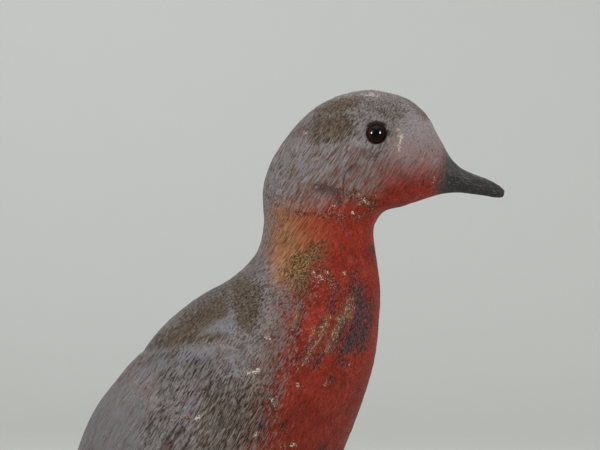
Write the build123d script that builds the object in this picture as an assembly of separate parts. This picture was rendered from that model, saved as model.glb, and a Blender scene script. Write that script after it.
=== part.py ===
from build123d import *
import math
import os

# A carved and painted wooden pigeon on a stick-up stand. The bird hangs on a steel pin through its
# body, so a touch on the head dips the bill, and the iron slug in the rear of the belly brings it back.
# Millimetres. +X is the way the bird faces, +Y its left side, +Z up. The origin is the centre of the
# felt's underside, and the stake, the blade and the pivot pin all stand on the Z axis.

# ---- driving dimensions -------------------------------------------------------------------------
PIVOT_Z = 195.0  # height of the pivot pin
DIP_DEG = 60.0  # how far the bird dips forward from rest

# The bird's cross-sections from the tail coverts to the bill tip. Each is an ellipse through a point on
# the back and a point on the underside, as (x, height above the pivot), with the half width across.
SECTIONS = [
    ((-93.0, -106.0), (-87.5, -111.5), 12.0),  # end of the tail coverts
    ((-87.5, -96.5), (-78.5, -105.0), 12.5),
    ((-79.5, -82.0), (-66.0, -97.5), 13.8),
    ((-71.5, -65.5), (-48.5, -88.5), 17.5),  # vent
    ((-63.3, -46.5), (-27.5, -75.0), 23.0),
    ((-55.0, -25.5), (-5.0, -57.5), 28.5),  # belly
    ((-46.5, -4.0), (16.5, -34.5), 31.5),
    ((-38.2, 17.0), (34.3, -7.5), 32.5),  # widest and deepest
    ((-25.3, 34.0), (45.0, 17.5), 30.5),
    ((-15.8, 46.0), (49.8, 33.0), 27.5),  # breast
    ((-4.5, 55.0), (51.7, 46.0), 23.5),
    ((6.2, 61.2), (52.2, 56.5), 19.5),
    ((13.4, 68.8), (51.2, 66.0), 16.0),
    ((15.5, 78.0), (50.0, 76.0), 14.0),  # neck
    ((15.3, 88.5), (53.2, 81.6), 13.5),
    ((18.5, 98.5), (58.2, 83.0), 13.2),
    ((27.0, 110.3), (62.0, 84.3), 13.0),
    ((37.0, 117.3), (65.0, 85.3), 12.5),  # eye
    ((48.5, 120.0), (67.5, 86.1), 11.5),  # crown
    ((59.8, 117.7), (69.4, 86.7), 9.9),
    ((66.8, 112.2), (71.3, 87.1), 8.0),
    ((70.8, 104.9), (73.3, 87.4), 6.0),
    ((74.3, 98.9), (75.3, 87.6), 4.5),
    ((77.6, 95.6), (77.6, 87.6), 3.6),  # root of the bill
    ((81.9, 93.5), (81.0, 87.2), 3.0),
    ((86.4, 91.8), (85.4, 86.6), 2.3),
    ((89.8, 89.9), (89.0, 86.0), 1.5),
    ((91.6, 88.3), (91.2, 86.1), 0.8),  # bill tip
]

NECK_JOINT_Z = 80.0  # above the pivot, where the head block is glued to the body
BILL_JOINT = (76.4, 91.8)  # centre of the joint between head and bill
BILL_SLOPE_DEG = 17.0  # the bill points this far below level
BILL_TANG_R, BILL_TANG_LENGTH = 1.9, 20.0

EYE_AT = (50.7, 105.8)  # (x, above the pivot)
EYE_SEAT_Y = 10.1  # flat bottom of the eye socket, out from the centre plane
EYE_R, EYE_DOME, EYE_EDGE = 2.95, 1.9, 0.9
IRIS_R, IRIS_T = 2.85, 0.3
SOCKET_R = 3.25

KERF_W = 5.0  # slot in the belly that the blade works in
BLADE_W, BLADE_T, BLADE_EYE_R = 12.0, 3.0, 8.0
PAD_T, PAD_W = 1.5, 4.6  # leather stop pads at both ends of the slot
TOUCH = 0.05  # the small gap left between a stop and what rests on it

PIN_R, PIN_LENGTH = 2.0, 44.0
HUB_R, HUB_LENGTH, HUB_BORE_R = 4.5, 4.8, 2.05
SLEEVE_R, SLEEVE_LENGTH = 3.5, 14.0
BUNG_R = 5.0
FIT = 0.02  # gap around a piece that is glued or pressed in

DOWEL_R = 3.0
DOWELS = [(30.0, 30.0, 26.0), (-20.0, 24.0, 26.0), (-44.0, -28.0, 24.0), (-60.0, -72.0, 18.0)]
NECK_DOWEL_R, NECK_DOWEL_LENGTH, NECK_DOWEL_X = 4.5, 44.0, 33.0
SLUG_R, SLUG_LENGTH, SLUG_AT = 11.0, 34.0, (-33.0, -47.0)

TAIL_ROOT = (-89.3, -109.4)
TAIL_SLOPE_DEG = 60.0  # the tail points this far below level
TAIL_T, TAIL_TIP_T = 5.0, 2.6
TAIL_PLAN = [(0, 10.0), (18, 13.0), (42, 15.5), (60, 13.0), (72, 7.0)]  # (along, half width)
TAIL_LENGTH = 77.0
TENON_LENGTH, TENON_T, TENON_W = 15.0, 3.4, 12.0

WING_ROOT, WING_END = (-58.0, -42.0, 16.5), (-111.5, -131.0, 4.6)  # (x, above the pivot, y)
WING_T, WING_HALF_W, WING_ROLL_DEG = 2.6, 9.0, 36.0

BASE_R, BASE_TOP_Z, FELT_T = 60.0, 26.0, 2.0
STAKE_R, STAKE_FOOT_Z, STAKE_TOP_Z = 6.0, 8.0, 121.0
FERRULE_R, FERRULE_LENGTH = 7.5, 18.0
BLADE_TANG = 24.0  # how far the blade goes down into the stake
RIVET_R, RIVET_HEAD_R, RIVET_HEAD_T = 1.25, 2.2, 0.8
BUSH_R, FLANGE_R, FLANGE_T, RUNNING = 8.0, 15.0, 2.0, 0.05
FLANGE_SCREWS, SCREW_CIRCLE_R, SCREW_R, SCREW_HEAD_R = 3, 11.5, 1.2, 2.4

parts = {}


# ---- helpers ------------------------------------------------------------------------------------
def side_plane(x, above_pivot, direction_deg):
    """A plane across the bird: its X runs at direction_deg in the side view and its Y is the bird's -Y."""
    angle = math.radians(direction_deg)
    along = (math.cos(angle), 0, math.sin(angle))
    across = (-math.sin(angle), 0, math.cos(angle))
    return Plane(origin=(x, 0, PIVOT_Z + above_pivot), x_dir=along, z_dir=across)


def section(back, under, half_width):
    """One elliptical cross-section of the bird."""
    span = (back[0] - under[0], back[1] - under[1])
    length = math.hypot(*span)
    centre = ((back[0] + under[0]) / 2, (back[1] + under[1]) / 2)
    plane = Plane(
        origin=(centre[0], 0, PIVOT_Z + centre[1]),
        x_dir=(span[0], 0, span[1]),
        z_dir=(-span[1] / length, 0, span[0] / length),
    )
    return plane * Ellipse(length / 2, half_width)


def rod_y(x, above_pivot, radius, start, end):
    """A round rod along Y, from start to end."""
    plane = Plane(origin=(x, start, PIVOT_Z + above_pivot), z_dir=(0, 1, 0))
    return plane * extrude(Circle(radius), end - start)


def rod_z(radius, bottom, top, x=0.0, y=0.0):
    """A round rod along Z."""
    return Pos(x, y, bottom) * extrude(Circle(radius), top - bottom)


def block(x_range, y_range, z_range):
    """A box between two corners."""
    centre = [(low + high) / 2 for low, high in (x_range, y_range, z_range)]
    return Pos(*centre) * Box(*[high - low for low, high in (x_range, y_range, z_range)])


def mirrored(name, shape):
    """Keeps a piece of the left side and its mirror image on the right."""
    parts[f"{name}_left"] = shape
    parts[f"{name}_right"] = mirror(shape, Plane.XZ)


# ---- the bird's outer shape ---------------------------------------------------------------------
def step(row, following):
    """The parameter step between two listed sections: the root of the distance between their centres."""
    (b0, u0, _), (b1, u1, _) = row, following
    return math.sqrt(math.hypot(b1[0] + u1[0] - b0[0] - u0[0], b1[1] + u1[1] - b0[1] - u0[1]) / 2)


def numbers(row):
    """A section as one flat list."""
    back, under, half_width = row
    return [*back, *under, half_width]


def slopes(i):
    """How fast each number of section i changes along the bird."""
    low, high = max(i - 1, 0), min(i + 1, len(SECTIONS) - 1)
    span = sum(step(SECTIONS[n], SECTIONS[n + 1]) for n in range(low, high))
    return [(q - p) / span for p, q in zip(numbers(SECTIONS[low]), numbers(SECTIONS[high]))]


def section_between(i, share):
    """The cross-section a share of the way from section i to the next, on cubic curves through them all."""
    span = step(SECTIONS[i], SECTIONS[i + 1])
    from_end = 1 - share
    found = []
    for p, q, dp, dq in zip(
        numbers(SECTIONS[i]), numbers(SECTIONS[i + 1]), slopes(i), slopes(i + 1)
    ):
        value = p * from_end**2 * (1 + 2 * share) + q * share**2 * (3 - 2 * share)
        value += span * share * from_end * (dp * from_end - dq * share)
        found.append(value)
    return section(tuple(found[0:2]), tuple(found[2:4]), found[4])


last = len(SECTIONS) - 1
profiles = [section_between(i, share) for i in range(last) for share in (0, 1 / 3, 2 / 3)]
skin = loft(profiles + [section(*SECTIONS[last])])

# ---- pivot slot in the belly --------------------------------------------------------------------
wall = BLADE_W / 2 + PAD_T + TOUCH  # from the blade's centre line to each end of the slot
reach = 90.0  # past the skin in every direction
front = math.radians(DIP_DEG - 90)
front_dir = (math.cos(front), math.sin(front))
front_out = (-front_dir[1], front_dir[0])
slot_outline = [
    (-wall, 0),
    (-wall, -reach),
    (wall, -reach * 1.4),
    (front_dir[0] * reach * 1.4, front_dir[1] * reach * 1.4),
    (front_dir[0] * reach + front_out[0] * wall, front_dir[1] * reach + front_out[1] * wall),
    (front_out[0] * wall, front_out[1] * wall),
]
slot_plane = Plane(origin=(0, KERF_W / 2, PIVOT_Z), x_dir=(1, 0, 0), z_dir=(0, -1, 0))
slot_face = make_face(Polyline(*slot_outline, close=True)) + Circle(BLADE_EYE_R + 0.6)
slot = slot_plane * extrude(slot_face, KERF_W)


def stop_pad(direction_deg, side, start, end):
    """A leather pad on one end wall of the slot. side is +1 or -1, across the slot's end direction."""
    plane = side_plane(0, 0, direction_deg)
    middle = side * (BLADE_W / 2 + TOUCH + PAD_T / 2)
    return plane * Pos((start + end) / 2, 0, middle) * Box(end - start, PAD_W, PAD_T - TOUCH)


parts["rear_stop_pad"] = stop_pad(-90, -1, 24, 50)
parts["front_stop_pad"] = stop_pad(DIP_DEG - 90, 1, 14, 29)

# ---- pivot ----------------------------------------------------------------------------------------
parts["pivot_pin"] = rod_y(0, 0, PIN_R, -PIN_LENGTH / 2, PIN_LENGTH / 2)
sleeve_start = KERF_W / 2
sleeve = rod_y(0, 0, SLEEVE_R, sleeve_start, sleeve_start + SLEEVE_LENGTH)
mirrored("pin_sleeve", sleeve - rod_y(0, 0, PIN_R + FIT, 0, 30))
bung_room = rod_y(0, 0, BUNG_R, PIN_LENGTH / 2 + TOUCH, 40)
mirrored("pin_bung", bung_room & skin)

# ---- glued and hidden pieces inside the bird ----------------------------------------------------------
parts["body_dowels"] = Compound([rod_y(x, z, DOWEL_R, -w / 2, w / 2) for x, z, w in DOWELS])
neck_low = PIVOT_Z + NECK_JOINT_Z - NECK_DOWEL_LENGTH / 2
parts["neck_dowel"] = rod_z(NECK_DOWEL_R, neck_low, neck_low + NECK_DOWEL_LENGTH, NECK_DOWEL_X)
parts["ballast_slug"] = rod_y(*SLUG_AT, SLUG_R, -SLUG_LENGTH / 2, SLUG_LENGTH / 2)

# ---- tail: a tapered board with a tenon in the rump ------------------------------------------------
tail_plane = side_plane(*TAIL_ROOT, TAIL_SLOPE_DEG + 180)
tail_edge = [(along, half) for along, half in TAIL_PLAN]
tail_outline = [
    Line((0, -TAIL_PLAN[0][1]), (0, TAIL_PLAN[0][1])),
    Spline(*tail_edge, (TAIL_LENGTH, 0), *[(a, -h) for a, h in reversed(tail_edge)]),
]
tail_board = extrude(make_face(tail_outline), TAIL_T / 2, both=True)
taper = make_face(
    Polyline(
        (-1, -TAIL_T / 2),
        (-1, TAIL_T / 2),
        (TAIL_LENGTH + 1, TAIL_TIP_T / 2),
        (TAIL_LENGTH + 1, -TAIL_TIP_T / 2),
        close=True,
    )
)
tail_board = tail_board & (Rot(90, 0, 0) * extrude(taper, 40, both=True))
tenon = Pos(-TENON_LENGTH / 2, 0, 0) * Box(TENON_LENGTH, TENON_W, TENON_T)
tail = tail_plane * (tail_board + tenon)
parts["tail"] = tail

# ---- wing tips: one thin blade each side, let into the flank and lying over the tail ------------------
root = Vector(WING_ROOT[0], WING_ROOT[2], PIVOT_Z + WING_ROOT[1])
end = Vector(WING_END[0], WING_END[2], PIVOT_Z + WING_END[1])
wing_length = (end - root).length
wing_dir = (end - root).normalized()
roll = math.radians(WING_ROLL_DEG)
back_dir = Vector(-math.sin(math.radians(60)), 0, math.cos(math.radians(60)))
wing_normal = back_dir * math.cos(roll) + Vector(0, math.sin(roll), 0)
wing_normal = (wing_normal - wing_dir * wing_normal.dot(wing_dir)).normalized()
wing_outline = Spline(
    (-10, 0),
    (4, WING_HALF_W),
    (wing_length * 0.45, WING_HALF_W * 0.95),
    (wing_length * 0.8, WING_HALF_W * 0.55),
    (wing_length, 0),
    (wing_length * 0.8, -WING_HALF_W * 0.45),
    (wing_length * 0.45, -WING_HALF_W * 0.9),
    (4, -WING_HALF_W),
    periodic=True,
)
wing_plane = Plane(origin=root, x_dir=wing_dir, z_dir=wing_normal)
wing = wing_plane * extrude(make_face(wing_outline), WING_T / 2, both=True)
mirrored("wing_tip", wing - tail)

# ---- eyes: a glass dome over a painted disc, bedded in a ring of putty ----------------------------------
def eye_rod(radius, start, length):
    """A round rod in the left eye socket, from start past its seat."""
    return rod_y(*EYE_AT, radius, EYE_SEAT_Y + start, EYE_SEAT_Y + start + length)


dome_r = (EYE_R**2 + EYE_DOME**2) / (2 * EYE_DOME)
dome_y = EYE_SEAT_Y + IRIS_T + EYE_EDGE + EYE_DOME - dome_r
dome = Pos(EYE_AT[0], dome_y, PIVOT_Z + EYE_AT[1]) * Sphere(dome_r)
glass = eye_rod(EYE_R, IRIS_T, EYE_EDGE + EYE_DOME + 1) & dome
mirrored("glass_eye", glass)
mirrored("iris", eye_rod(IRIS_R, 0, IRIS_T - 0.01))
ring = eye_rod(SOCKET_R, 0, 10) - eye_rod(EYE_R + FIT, -1, 12)
mirrored("eye_putty", ring & skin)
sockets = eye_rod(SOCKET_R, 0, 10)
sockets = sockets + mirror(sockets, Plane.XZ)

# ---- head, bill and the two body halves, cut from the outer shape --------------------------------------
bill_plane = side_plane(*BILL_JOINT, -BILL_SLOPE_DEG)
bill_side = bill_plane * Pos(25, 0, 0) * Box(50, 40, 40)
tang = bill_plane * Pos(-BILL_TANG_LENGTH / 2, 0, 0) * Rot(0, 90, 0)
parts["bill"] = (skin & bill_side) + tang * Cylinder(BILL_TANG_R, BILL_TANG_LENGTH + 1)

above_neck = Pos(0, 0, PIVOT_Z + NECK_JOINT_Z + 50) * Box(300, 100, 100)
head = (skin & above_neck) - bill_side - sockets - parts["neck_dowel"]
parts["head"] = head - tang * Cylinder(BILL_TANG_R + FIT, BILL_TANG_LENGTH + 1.2)

body = skin - above_neck - slot - parts["neck_dowel"] - parts["ballast_slug"] - parts["body_dowels"]
body = body - parts["tail"] - parts["wing_tip_left"] - parts["wing_tip_right"]
body = body - rod_y(0, 0, PIN_R, -PIN_LENGTH / 2 - TOUCH, PIN_LENGTH / 2 + TOUCH)
sleeve_end = sleeve_start + SLEEVE_LENGTH
body = body - rod_y(0, 0, SLEEVE_R, -sleeve_end, sleeve_end)
body = body - bung_room - mirror(bung_room, Plane.XZ)
left_side = Pos(0, 50, PIVOT_Z) * Box(400, 100, 400)
parts["body_left"] = body & left_side
parts["body_right"] = body - left_side

# ---- stake, ferrule and pivot blade ----------------------------------------------------------------------
blade_bottom = STAKE_TOP_Z - BLADE_TANG
blade_flat = block((-BLADE_W / 2, BLADE_W / 2), (-BLADE_T / 2, BLADE_T / 2), (STAKE_TOP_Z, PIVOT_Z))
tang_half = STAKE_R - 1.0
blade_tang = block(
    (-tang_half, tang_half), (-BLADE_T / 2, BLADE_T / 2), (blade_bottom, STAKE_TOP_Z)
)
blade = blade_flat + blade_tang + rod_y(0, 0, BLADE_EYE_R, -BLADE_T / 2, BLADE_T / 2)

rivets = []
for above_tang in (6.0, 18.0):
    z = blade_bottom + above_tang - PIVOT_Z
    reach_y = FERRULE_R if above_tang > BLADE_TANG - FERRULE_LENGTH else STAKE_R
    shank = rod_y(0, z, RIVET_R, -reach_y, reach_y)
    heads = rod_y(0, z, RIVET_HEAD_R, reach_y, reach_y + RIVET_HEAD_T)
    rivets.append(shank + heads + mirror(heads, Plane.XZ))
parts["blade_rivets"] = Compound(rivets)

parts["hub_bush"] = rod_y(0, 0, HUB_R, -HUB_LENGTH / 2, HUB_LENGTH / 2)
parts["hub_bush"] -= rod_y(0, 0, HUB_BORE_R, -HUB_LENGTH, HUB_LENGTH)
parts["pivot_blade"] = blade - rod_y(0, 0, HUB_R, -BLADE_T, BLADE_T) - parts["blade_rivets"]

ferrule_bottom = STAKE_TOP_Z - FERRULE_LENGTH
ferrule = rod_z(FERRULE_R, ferrule_bottom, STAKE_TOP_Z) - rod_z(STAKE_R, ferrule_bottom, STAKE_TOP_Z)
parts["ferrule"] = ferrule - parts["blade_rivets"]
stake = rod_z(STAKE_R, STAKE_FOOT_Z, STAKE_TOP_Z) - blade_tang
parts["stake"] = stake - parts["blade_rivets"]

# ---- base ----------------------------------------------------------------------------------------------------
base_profile = [
    Polyline((0, BASE_TOP_Z), (0, FELT_T), (BASE_R - 1.5, FELT_T), (BASE_R, FELT_T + 1.5)),
    Line((BASE_R, FELT_T + 1.5), (BASE_R, 12)),
    ThreePointArc((BASE_R, 12), (BASE_R - 2.2, 15.8), (BASE_R - 6, 17.5)),
    Line((BASE_R - 6, 17.5), (BASE_R - 7, 17.5)),
    ThreePointArc((BASE_R - 7, 17.5), (BASE_R - 13, 20.0), (BASE_R - 15.5, BASE_TOP_Z)),
    Line((BASE_R - 15.5, BASE_TOP_Z), (0, BASE_TOP_Z)),
]
base = revolve(Plane.XZ * make_face(base_profile), Axis.Z)
bush_bottom = STAKE_FOOT_Z
bush = rod_z(BUSH_R, bush_bottom, BASE_TOP_Z) + rod_z(FLANGE_R, BASE_TOP_Z, BASE_TOP_Z + FLANGE_T)
bush = bush - rod_z(STAKE_R + RUNNING, bush_bottom, BASE_TOP_Z + FLANGE_T)

screws = []
flange_top = BASE_TOP_Z + FLANGE_T
for i in range(FLANGE_SCREWS):
    angle = math.radians(360 / FLANGE_SCREWS * i + 90)
    x, y = SCREW_CIRCLE_R * math.cos(angle), SCREW_CIRCLE_R * math.sin(angle)
    cone = Pos(x, y, flange_top - 0.7) * Cone(SCREW_R, SCREW_HEAD_R, 1.4)
    slit = Pos(x, y, flange_top) * Rot(0, 0, 35 * i) * Box(6, 0.6, 0.9)
    screws.append(rod_z(SCREW_R, flange_top - 11, flange_top - 1.2, x, y) + cone - slit)
parts["flange_screws"] = Compound(screws)
parts["socket_bush"] = bush - parts["flange_screws"]
parts["base_block"] = base - rod_z(BUSH_R, bush_bottom - TOUCH, BASE_TOP_Z) - parts["flange_screws"]
parts["felt_pad"] = rod_z(BASE_R - 3, 0, FELT_T)

# ---- files ---------------------------------------------------------------------------------------------------
os.makedirs("parts", exist_ok=True)
for name, shape in parts.items():
    export_step(shape, f"parts/{name}.step")
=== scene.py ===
import math

import bmesh
import bpy
import numpy as np
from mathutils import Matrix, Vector


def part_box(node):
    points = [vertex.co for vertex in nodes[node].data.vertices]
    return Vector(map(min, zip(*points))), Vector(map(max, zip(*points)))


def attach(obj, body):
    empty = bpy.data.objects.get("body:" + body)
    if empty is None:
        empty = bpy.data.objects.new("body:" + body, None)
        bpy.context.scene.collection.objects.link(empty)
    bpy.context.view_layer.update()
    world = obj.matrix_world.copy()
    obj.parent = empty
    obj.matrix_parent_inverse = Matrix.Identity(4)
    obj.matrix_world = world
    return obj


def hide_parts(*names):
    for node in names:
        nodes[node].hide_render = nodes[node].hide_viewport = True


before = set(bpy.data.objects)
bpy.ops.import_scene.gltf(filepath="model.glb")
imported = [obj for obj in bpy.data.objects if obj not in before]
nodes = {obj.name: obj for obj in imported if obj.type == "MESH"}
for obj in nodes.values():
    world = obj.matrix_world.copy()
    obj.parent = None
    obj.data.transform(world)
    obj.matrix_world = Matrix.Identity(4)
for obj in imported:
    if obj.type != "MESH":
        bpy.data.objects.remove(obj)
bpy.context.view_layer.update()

MM = 0.001
PIVOT = sum((Vector(corner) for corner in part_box("pivot_pin")), Vector()) / 2
EYE = sum((Vector(corner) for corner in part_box("glass_eye_right")), Vector()) / 2
NECK_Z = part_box("head")[0][2]
scene = bpy.context.scene
scene.view_settings.view_transform = "Standard"


def add_object(name, data):
    """A new object in the scene that shows some data."""
    obj = bpy.data.objects.new(name, data)
    scene.collection.objects.link(obj)
    return obj


def mesh_object(name, verts, faces):
    """A new mesh object from lists of corners and faces."""
    mesh = bpy.data.meshes.new(name)
    mesh.from_pydata(verts, [], faces)
    return add_object(name, mesh)


# ---- camera and lights --------------------------------------------------------------------------
def aim(thing, place, target):
    """Puts a camera or lamp at a place, looking at a target."""
    thing.location = place
    thing.rotation_mode = "QUATERNION"
    thing.rotation_quaternion = (Vector(target) - Vector(place)).to_track_quat("-Z", "Y")


VIEW_WIDTH = 0.1896  # how much of the bird the photograph takes in, side to side
CAMERA_DISTANCE = 0.75
SENSOR_MM = 36
CENTRE_BEHIND_EYE = 0.0238  # from the eye to the middle of the photograph
CENTRE_BELOW_EYE = 0.0284
view_centre = Vector((EYE.x - CENTRE_BEHIND_EYE, 0, EYE.z - CENTRE_BELOW_EYE))
camera_data = bpy.data.cameras.new("camera")
camera_data.sensor_width = SENSOR_MM
camera_data.lens = SENSOR_MM * CAMERA_DISTANCE / VIEW_WIDTH
camera = add_object("camera", camera_data)
aim(camera, view_centre + Vector((0, -CAMERA_DISTANCE, 0)), view_centre)
scene.camera = camera


def area_lamp(name, place, target, sides, power, colour):
    """A soft lamp at a place, facing a target. The camera doesn't see it."""
    data = bpy.data.lights.new(name, "AREA")
    data.shape = "RECTANGLE"
    data.size, data.size_y = sides
    data.energy = power
    data.color = colour
    lamp = add_object(name, data)
    aim(lamp, place, target)
    lamp.visible_camera = False
    return lamp


def softbox(name, azimuth, height, distance, sides, power, colour=(1, 1, 1)):
    """A soft lamp that faces the bird. Azimuth 0 is on the camera's side, and 90 is towards +X."""
    a = math.radians(azimuth)
    place = Vector((view_centre.x + distance * math.sin(a), -distance * math.cos(a), height))
    return area_lamp(name, place, view_centre, sides, power, colour)


softbox("window_left", -55, 1.15, 2.0, (1.3, 1.3), 16.0, (0.98, 0.99, 1.0))
softbox("window_right", 50, 0.95, 2.0, (1.2, 1.2), 18.5, (0.99, 0.99, 1.0))
softbox("ceiling", -10, 2.2, 0.5, (1.6, 1.6), 12.0)
softbox("behind", 170, 1.2, 1.6, (1.0, 1.0), 6.5)
area_lamp("wall_wash", (-0.45, 3.0, 1.6), (-0.2, 4.0, 0.95), (0.6, 0.6), 1.8, (0.9, 0.94, 1.0))

world = bpy.data.worlds.new("room")
scene.world = world
world.use_nodes = True
room_light = world.node_tree.nodes["Background"]
room_light.inputs["Color"].default_value = (0.99, 1.0, 1.0, 1)
room_light.inputs["Strength"].default_value = 0.80


# ---- node helpers -------------------------------------------------------------------------------
class Shader:
    """Short names for building a material's nodes. Lengths in its patterns are millimetres."""

    def __init__(self, name):
        self.material = bpy.data.materials.new(name)
        self.material.use_nodes = True
        self.tree = self.material.node_tree
        self.surface = self.tree.nodes["Principled BSDF"]
        coordinates = self.tree.nodes.new("ShaderNodeTexCoord").outputs["Object"]
        self.mm = self.vector("MULTIPLY", coordinates, (1000, 1000, 1000))

    def put(self, socket, value):
        """Links or sets one input."""
        if isinstance(value, bpy.types.NodeSocket):
            self.tree.links.new(value, socket)
        elif socket.type == "RGBA" and len(value) == 3:
            socket.default_value = (*value, 1)
        else:
            socket.default_value = value

    def vector(self, operation, a, b):
        """One vector operation. A length or dot product comes out as a number."""
        node = self.tree.nodes.new("ShaderNodeVectorMath")
        node.operation = operation
        self.put(node.inputs[0], a)
        self.put(node.inputs[1], b)
        return node.outputs["Value" if operation in ("LENGTH", "DOT_PRODUCT") else "Vector"]

    def math(self, operation, a, b=0.0, c=0.0):
        """One operation on up to three numbers."""
        node = self.tree.nodes.new("ShaderNodeMath")
        node.operation = operation
        for socket, value in zip(node.inputs, (a, b, c)):
            self.put(socket, value)
        return node.outputs[0]

    def turned(self, degrees, scale):
        """Object coordinates turned about Y so that X runs at that angle in the side view, then scaled."""
        node = self.tree.nodes.new("ShaderNodeMapping")
        self.put(node.inputs["Vector"], self.mm)
        node.inputs["Rotation"].default_value = (0, math.radians(degrees), 0)
        return self.vector("MULTIPLY", node.outputs[0], scale)

    def noise(self, place, scale, detail, roughness=0.5, distortion=0.0):
        """Cloudy noise about 0.5."""
        node = self.tree.nodes.new("ShaderNodeTexNoise")
        self.put(node.inputs["Vector"], place)
        for name, value in (
            ("Scale", scale), ("Detail", detail), ("Roughness", roughness), ("Distortion", distortion)
        ):
            node.inputs[name].default_value = value
        return node.outputs["Fac"]

    def cells(self, place, scale):
        """The distance from the middle of the nearest cell."""
        node = self.tree.nodes.new("ShaderNodeTexVoronoi")
        self.put(node.inputs["Vector"], place)
        node.inputs["Scale"].default_value = scale
        return node.outputs["Distance"]

    def ramp(self, value, low, high, out_low=0.0, out_high=1.0):
        """A clamped straight ramp from (low, out_low) to (high, out_high)."""
        node = self.tree.nodes.new("ShaderNodeMapRange")
        self.put(node.inputs["Value"], value)
        for name, number in (
            ("From Min", low), ("From Max", high), ("To Min", out_low), ("To Max", out_high)
        ):
            node.inputs[name].default_value = number
        return node.outputs[0]

    def mix(self, factor, a, b):
        """Colour a where the factor is 0, and b where it is 1."""
        node = self.tree.nodes.new("ShaderNodeMix")
        node.data_type = "RGBA"
        self.put(node.inputs[0], factor)
        self.put(node.inputs[6], a)
        self.put(node.inputs[7], b)
        return node.outputs[2]

    def field(self, name):
        """A number stored on the mesh's points."""
        node = self.tree.nodes.new("ShaderNodeAttribute")
        node.attribute_name = name
        return node.outputs["Fac"]

    def bump(self, height, distance_mm, strength=1.0):
        """A normal for a height. A height of 1 stands that far out."""
        node = self.tree.nodes.new("ShaderNodeBump")
        node.inputs["Strength"].default_value = strength
        node.inputs["Distance"].default_value = distance_mm * MM
        self.put(node.inputs["Height"], height)
        return node.outputs[0]

    def finish(self, colour, roughness, normal=None, **constants):
        """Wires the surface. The constants are set on the shader's own sockets."""
        self.put(self.surface.inputs["Base Color"], colour)
        self.put(self.surface.inputs["Roughness"], roughness)
        if normal is not None:
            self.put(self.surface.inputs["Normal"], normal)
        for name, value in constants.items():
            self.put(self.surface.inputs[name.replace("_", " ")], value)
        return self.material


def srgb(r, g, b):
    """A colour on the 0-255 scale as linear values."""
    shares = (r / 255, g / 255, b / 255)
    return tuple(c / 12.92 if c <= 0.04045 else ((c + 0.055) / 1.055) ** 2.4 for c in shares)


def dress(obj, material):
    """Gives every slot of an object one material."""
    obj.data.materials.clear()
    obj.data.materials.append(material)


# ---- floor --------------------------------------------------------------------------------------
FLAT_RADIUS = 2.6
CURVE_RADIUS = 1.4
WALL_TOP = 3.4
WALL_LIGHT_RAMP = (900, 3900)  # millimetres from the middle: the painted brightening of the wall starts, and is full


def sweep_floor():
    """A round floor that curves up into a pale wall all round, so that it has no edge in any view."""
    profile = [(0.0, 0.0), (1.5, 0.0), (FLAT_RADIUS, 0.0)]
    curve_steps, turns = 12, 72
    for i in range(1, curve_steps + 1):
        a = math.radians(90 * i / curve_steps)
        profile.append((FLAT_RADIUS + CURVE_RADIUS * math.sin(a), CURVE_RADIUS * (1 - math.cos(a))))
    profile.append((FLAT_RADIUS + CURVE_RADIUS, WALL_TOP))
    verts, faces = [(0, 0, 0)], []
    for r, z in profile[1:]:
        for t in range(turns):
            a = 2 * math.pi * t / turns
            verts.append((r * math.cos(a), r * math.sin(a), z))
    for t in range(turns):
        faces.append((0, 1 + t, 1 + (t + 1) % turns))
    for ring in range(len(profile) - 2):
        low, high = 1 + ring * turns, 1 + (ring + 1) * turns
        for t in range(turns):
            n = (t + 1) % turns
            faces.append((low + t, high + t, high + n, low + n))
    floor = mesh_object("floor", verts, faces)
    floor.data.shade_smooth()
    s = Shader("pale_floor")
    grain = s.noise(s.mm, 0.02, 3, 0.6)
    near = s.mix(grain, srgb(196, 196, 193), srgb(202, 202, 199))
    # Painted light: the floor turns lighter towards and up the wall, as if more light fell there.
    out = s.ramp(s.vector("LENGTH", s.mm, (0, 0, 0)), *WALL_LIGHT_RAMP)
    floor.data.materials.append(s.finish(s.mix(out, near, srgb(214, 215, 212)), 0.9))


sweep_floor()


# ---- noise and shapes on points (millimetres) ---------------------------------------------------
HASH_X, HASH_Y, HASH_Z, HASH_MIX = 374761393, 668265263, 2147483647, 1274126177
LOW_32_BITS = 0xFFFFFFFF
LOW_16_BITS = 0xFFFF
OCTAVE_SHIFT = 17.3


def lattice(ix, iy, iz, seed):
    """A repeatable number from 0 to 1 for each whole-number point."""
    h = (ix * HASH_X + iy * HASH_Y + iz * HASH_Z + seed * HASH_MIX) & LOW_32_BITS
    h = ((h ^ (h >> 13)) * HASH_MIX) & LOW_32_BITS
    return ((h ^ (h >> 16)) & LOW_16_BITS) / LOW_16_BITS


def noise(points, size, seed, octaves=1):
    """Smooth noise about 0, mostly from -1 to 1. Its features' size may differ along each axis."""
    total, weight = 0.0, 1.0
    p = points / np.asarray(size, float)
    for octave in range(octaves):
        q = p * 2**octave + OCTAVE_SHIFT * octave
        cell = np.floor(q).astype(np.int64)
        f = q - cell
        f = f * f * (3 - 2 * f)
        value = 0.0
        for dx in (0, 1):
            for dy in (0, 1):
                for dz in (0, 1):
                    corner = lattice(cell[:, 0] + dx, cell[:, 1] + dy, cell[:, 2] + dz, seed + octave)
                    wx = f[:, 0] if dx else 1 - f[:, 0]
                    wy = f[:, 1] if dy else 1 - f[:, 1]
                    wz = f[:, 2] if dz else 1 - f[:, 2]
                    value = value + corner * wx * wy * wz
        total = total + (2 * value - 1) * weight
        weight *= 0.5
    return total


def smooth(value, low, high):
    """A smooth step from 0 at low to 1 at high."""
    t = np.clip((value - low) / (high - low), 0, 1)
    return t * t * (3 - 2 * t)


def line_distance(flat, line):
    """Each point's distance from a bent line."""
    best = np.full(len(flat), np.inf)
    for a, b in zip(line[:-1], line[1:]):
        a, b = np.array(a, float), np.array(b, float)
        run = b - a
        t = np.clip((flat - a) @ run / (run @ run), 0, 1)
        best = np.minimum(best, np.hypot(*(flat - a - t[:, None] * run).T))
    return best


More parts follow.
